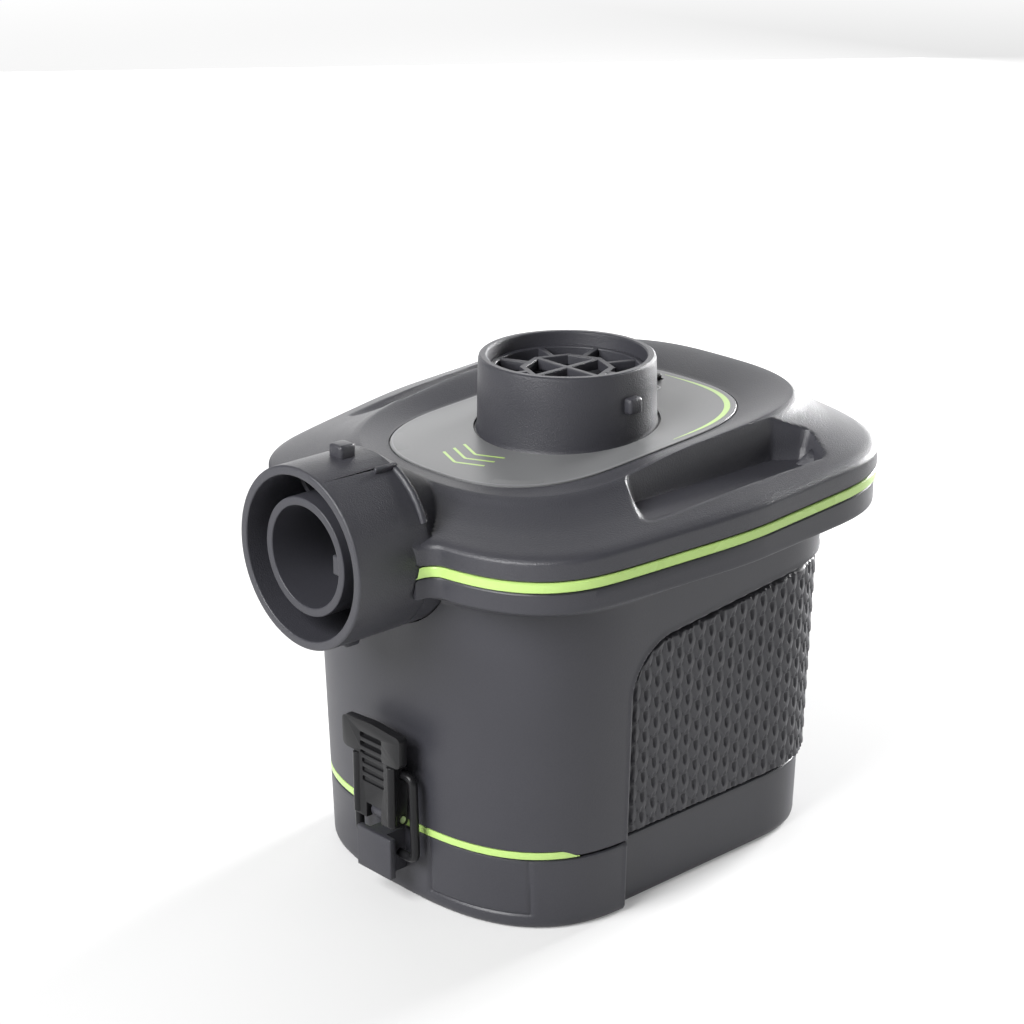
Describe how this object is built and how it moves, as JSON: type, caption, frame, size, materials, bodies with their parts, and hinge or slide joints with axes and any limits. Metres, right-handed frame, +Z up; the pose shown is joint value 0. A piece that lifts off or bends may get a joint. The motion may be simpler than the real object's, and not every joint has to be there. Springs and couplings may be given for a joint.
{
  "type": "battery air mattress pump",
  "caption": "Battery-powered air pump: flared housing with an outlet port, a top intake port, textured grips, a latched battery cover and a motor-driven impeller.",
  "frame": {"origin": "on the standing face, straight below the axis of the impeller and of the top port", "axes": "+Z up, -Y out of the outlet port, +X to the right of someone who looks along +Y"},
  "size_m": [0.141, 0.1619, 0.139],
  "materials": {
    "shell_plastic": "fine-grained matt moulded plastic",
    "grip_rubber": "matt rubber with a fish-scale relief",
    "accent_green": "satin yellow-green plastic",
    "label": "satin printed film",
    "black_plastic": "semi-gloss black plastic",
    "inner_plastic": "matt black plastic",
    "impeller_plastic": "natural white nylon",
    "steel": "zinc-plated steel",
    "magnet": "dark sintered ferrite",
    "copper": "turned copper",
    "nickel": "nickel-plated spring steel",
    "cell": "plain printed battery jacket",
    "wire_red": "red PVC insulation",
    "wire_black": "black PVC insulation"
  },
  "bodies": {
    "housing": {"lower_housing": "shell_plastic", "top_cover": "shell_plastic", "upper_accent_stripe": "accent_green", "lower_accent_stripe": "accent_green", "top_label": "label", "intake_grille": "shell_plastic", "side_grip_right": "grip_rubber", "side_grip_left": "grip_rubber", "volute_casing": "inner_plastic", "volute_lid": "inner_plastic", "motor_can": "steel", "motor_end_cap": "black_plastic", "magnet_right": "magnet", "magnet_left": "magnet", "motor_screw_right": "steel", "motor_screw_left": "steel", "battery_tray": "inner_plastic", "contact_board": "inner_plastic", "cell_1": "cell", "cell_2": "cell", "cell_3": "cell", "cell_4": "cell", "cell_5": "cell", "cell_6": "cell", "upper_spring_2": "nickel", "upper_spring_4": "nickel", "upper_spring_6": "nickel", "upper_contact_1": "nickel", "upper_contact_2": "nickel", "upper_contact_3": "nickel", "upper_contact_4": "nickel", "latch_pin": "steel", "hinge_pin": "steel", "switch_bezel": "black_plastic", "switch_body": "black_plastic", "housing_screw_1": "steel", "housing_screw_2": "steel", "housing_screw_3": "steel", "housing_screw_4": "steel", "wire_red": "wire_red", "wire_black": "wire_black"},
    "cover": {"battery_cover": "shell_plastic", "lower_contact_1": "nickel", "lower_contact_2": "nickel", "lower_contact_3": "nickel", "lower_spring_1": "nickel", "lower_spring_3": "nickel", "lower_spring_5": "nickel"},
    "lever": {"latch_lever": "black_plastic"},
    "bail": {"latch_bail": "black_plastic"},
    "rotor": {"impeller": "impeller_plastic", "motor_shaft": "steel", "rotor_core": "steel", "commutator": "copper"},
    "rocker": {"switch_rocker": "black_plastic"}
  },
  "joints": [
    {"name": "cover_hinge", "type": "hinge", "parent": "housing", "child": "cover", "pos_m": [0, 0.0662, 0.02075], "axis": [1, 0, 0], "range_deg": [0, 80]},
    {"name": "latch_pivot", "type": "hinge", "parent": "housing", "child": "lever", "pos_m": [0, -0.067, 0.0255], "axis": [1, 0, 0], "range_deg": [0, 90]},
    {"name": "bail_pivot", "type": "hinge", "parent": "lever", "child": "bail", "pos_m": [0, -0.0664, 0.0385], "axis": [1, 0, 0], "range_deg": [-49.5, 0]},
    {"name": "rotor_spin", "type": "hinge", "parent": "housing", "child": "rotor", "pos_m": [0, 0, 0.08], "axis": [0, 0, 1], "continuous": true},
    {"name": "switch_rock", "type": "hinge", "parent": "housing", "child": "rocker", "pos_m": [-0.0125, 0.037, 0.122], "axis": [0, -0.9981, -0.0624], "range_deg": [0, 12]}
  ],
  "couplings": [
    {"joint": "bail_pivot", "follows": "latch_pivot", "ratio": -0.55}
  ]
}
